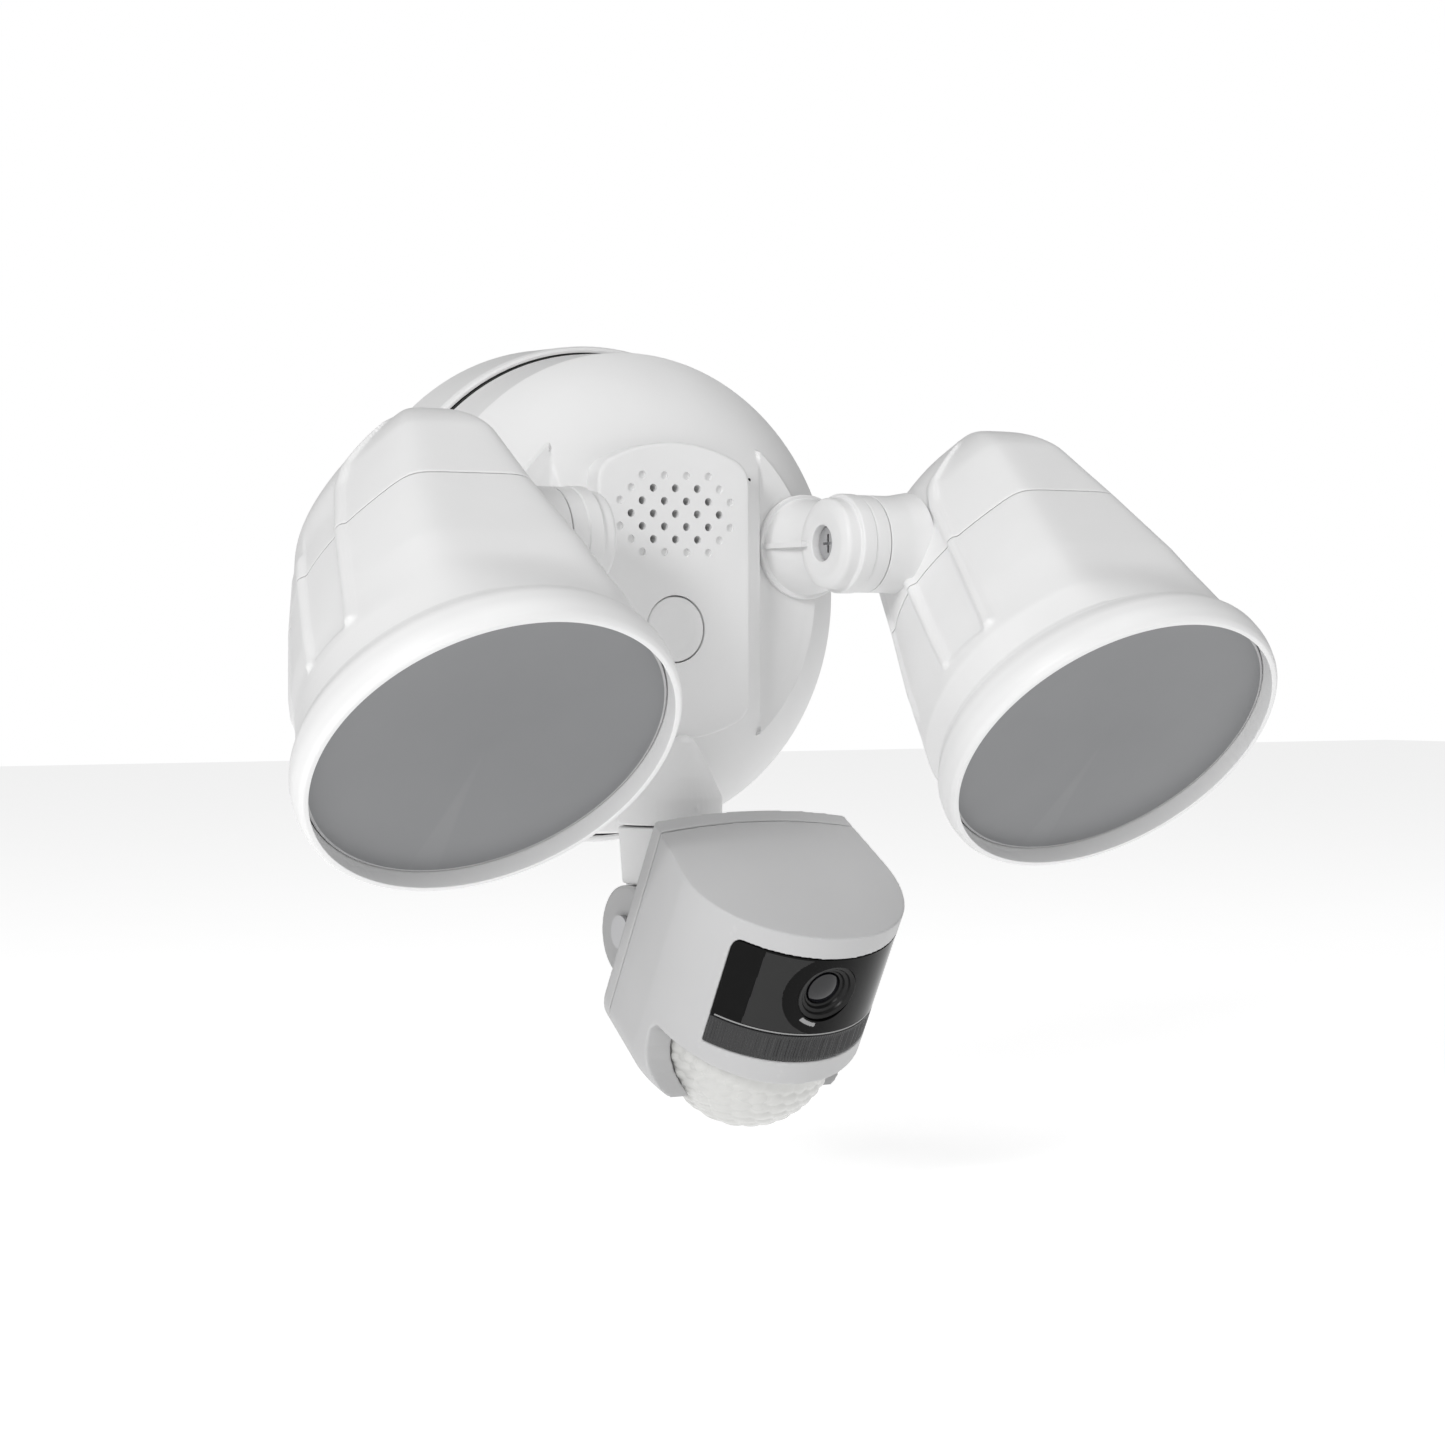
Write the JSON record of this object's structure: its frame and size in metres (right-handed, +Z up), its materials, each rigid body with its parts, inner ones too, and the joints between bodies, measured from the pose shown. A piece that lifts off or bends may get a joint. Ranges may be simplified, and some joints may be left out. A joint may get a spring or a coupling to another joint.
{
  "type": "floodlight security camera",
  "caption": "Wall-mounted security camera on a pan and tilt joint below a round base, with a swivelling lamp head on each side.",
  "frame": {"origin": "centre of the wall plate's rear face, midway between the two wall screw holes", "axes": "+X to the viewer's right along the wall, +Z up, +Y into the wall; the lamp stands out towards -Y"},
  "size_m": [0.3092, 0.1878, 0.2305],
  "materials": {
    "plate_plastic": "fine moulded texture, slightly darker than the dome",
    "housing_plastic": "fine matte moulded texture",
    "head_plastic": "fine matte moulded texture",
    "camera_plastic": "fine matte moulded texture",
    "button_plastic": "fine matte",
    "lamp_lens": "frosted diffuser with a glossy front",
    "window_plastic": "polished black",
    "strip_plastic": "dark translucent, ribbed",
    "motion_lens": "milky, faceted",
    "camera_glass": "coated lens",
    "dark_plastic": "matte black",
    "seal_rubber": "matte",
    "steel": "zinc plated",
    "reflector_metal": "satin metallised",
    "sink_aluminium": "cast, bead blasted",
    "board_green": "solder mask",
    "terminal_plastic": "moulded"
  },
  "bodies": {
    "base": {"wall_gasket": "seal_rubber", "back_plate": "plate_plastic", "cable_gland": "seal_rubber", "terminal_block": "terminal_plastic", "power_board": "board_green", "housing_seal": "seal_rubber", "front_housing": "housing_plastic", "housing_screws": "steel", "speaker": "dark_plastic", "main_board": "board_green", "board_screws": "steel", "neck_arm": "housing_plastic"},
    "call_button": {"call_button": "button_plastic"},
    "pan_cup": {"pan_cup": "housing_plastic", "pan_nut": "steel"},
    "camera": {"tilt_pin": "steel", "camera_rear_cover": "camera_plastic", "camera_front_body": "camera_plastic", "camera_window": "window_plastic", "camera_lens_barrel": "dark_plastic", "camera_lens_glass": "camera_glass", "camera_image_board": "board_green", "infrared_strip": "strip_plastic", "infrared_board": "board_green", "motion_dome": "motion_lens", "motion_sensor": "steel", "camera_screws": "steel"},
    "left_boss": {"left_swivel_boss": "head_plastic", "left_boss_nut": "steel", "left_pivot_oring": "seal_rubber"},
    "left_head": {"left_pivot_screw": "steel", "left_rear_housing": "head_plastic", "left_front_shell": "head_plastic", "left_lens": "lamp_lens", "left_lens_seal": "seal_rubber", "left_reflector": "reflector_metal", "left_led_board": "terminal_plastic", "left_heat_sink": "sink_aluminium", "left_shell_screws": "steel"},
    "right_boss": {"right_swivel_boss": "head_plastic", "right_boss_nut": "steel", "right_pivot_oring": "seal_rubber"},
    "right_head": {"right_pivot_screw": "steel", "right_rear_housing": "head_plastic", "right_front_shell": "head_plastic", "right_lens": "lamp_lens", "right_lens_seal": "seal_rubber", "right_reflector": "reflector_metal", "right_led_board": "terminal_plastic", "right_heat_sink": "sink_aluminium", "right_shell_screws": "steel"}
  },
  "joints": [
    {"name": "button_press", "type": "slide", "parent": "base", "child": "call_button", "axis": [0, 1, 0], "range_m": [0, 0.0008], "stiffness_N_per_m": 900, "springref_m": -0.0006},
    {"name": "left_boss_turn", "type": "hinge", "parent": "base", "child": "left_boss", "pos_m": [-0.0513, 0, 0.0141], "axis": [0, 1, 0], "range_deg": [-10, 45]},
    {"name": "left_head_tilt", "type": "hinge", "parent": "left_boss", "child": "left_head", "pos_m": [-0.0513, -0.0916, 0.0141], "axis": [1, 0, 0], "range_deg": [-40, 35]},
    {"name": "right_boss_turn", "type": "hinge", "parent": "base", "child": "right_boss", "pos_m": [0.0513, 0, 0.0141], "axis": [0, -1, 0], "range_deg": [-10, 45]},
    {"name": "right_head_tilt", "type": "hinge", "parent": "right_boss", "child": "right_head", "pos_m": [0.0513, -0.0916, 0.0141], "axis": [1, 0, 0], "range_deg": [-40, 35]},
    {"name": "camera_pan", "type": "hinge", "parent": "base", "child": "pan_cup", "pos_m": [0, -0.0671, -0.069], "axis": [0, 0, 1], "range_deg": [-40, 40]},
    {"name": "camera_tilt", "type": "hinge", "parent": "pan_cup", "child": "camera", "pos_m": [0, -0.0674, -0.1003], "axis": [1, 0, 0], "range_deg": [-25, 35]}
  ]
}
